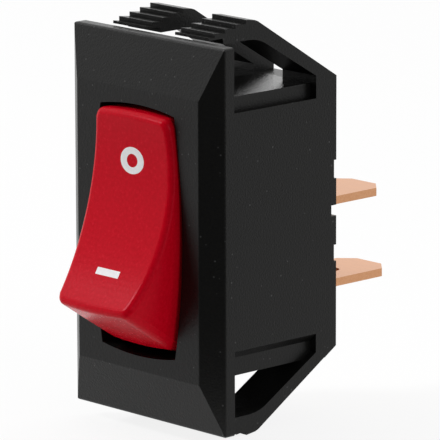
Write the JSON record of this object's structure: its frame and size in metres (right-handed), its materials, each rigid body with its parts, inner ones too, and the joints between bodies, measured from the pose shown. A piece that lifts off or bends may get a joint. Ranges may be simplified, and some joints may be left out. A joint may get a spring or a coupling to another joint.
{
  "type": "panel rocker switch",
  "caption": "Snap-in panel rocker switch: bevelled rectangular bezel, see-saw rocker marked O and I, ratchet snap arms above and below, and two quick-connect tabs behind.",
  "frame": {"origin": "centre of the bezel's back face, where the switch bears on its panel", "axes": "+X across the bezel, +Y back through the panel, along the body and the tabs, +Z towards the rocker's O end"},
  "size_m": [0.0208, 0.0369, 0.04],
  "materials": {
    "black_plastic": "fine matte texture",
    "red_plastic": "satin",
    "copper": "bright rolled copper",
    "natural_plastic": "smooth",
    "spring_steel": "drawn wire",
    "silver": "silver contact rivet"
  },
  "bodies": {
    "body": {"housing": "black_plastic", "terminal_base": "black_plastic", "upper_terminal": "copper", "lower_terminal": "copper", "fixed_contact": "silver"},
    "rocker": {"rocker": "red_plastic", "plunger_spring": "spring_steel"},
    "plunger": {"plunger": "natural_plastic"},
    "contact_arm": {"contact_arm": "copper", "moving_contact": "silver"}
  },
  "joints": [
    {"name": "rocker_pivot", "type": "hinge", "parent": "body", "child": "rocker", "pos_m": [0, 0.0019, 0], "axis": [1, 0, 0], "range_deg": [0, 32.8]},
    {"name": "plunger_slide", "type": "slide", "parent": "rocker", "child": "plunger", "axis": [0, 0.9593, -0.2823], "range_m": [-0.0009, 0], "stiffness_N_per_m": 600, "springref_m": 0.001, "deforming": ["plunger_spring"]},
    {"name": "contact_arm_rock", "type": "hinge", "parent": "body", "child": "contact_arm", "pos_m": [0, 0.0117, 0], "axis": [1, 0, 0], "range_deg": [-12, 0]}
  ],
  "couplings": [
    {"joint": "contact_arm_rock", "follows": "rocker_pivot", "ratio": -0.3658}
  ]
}
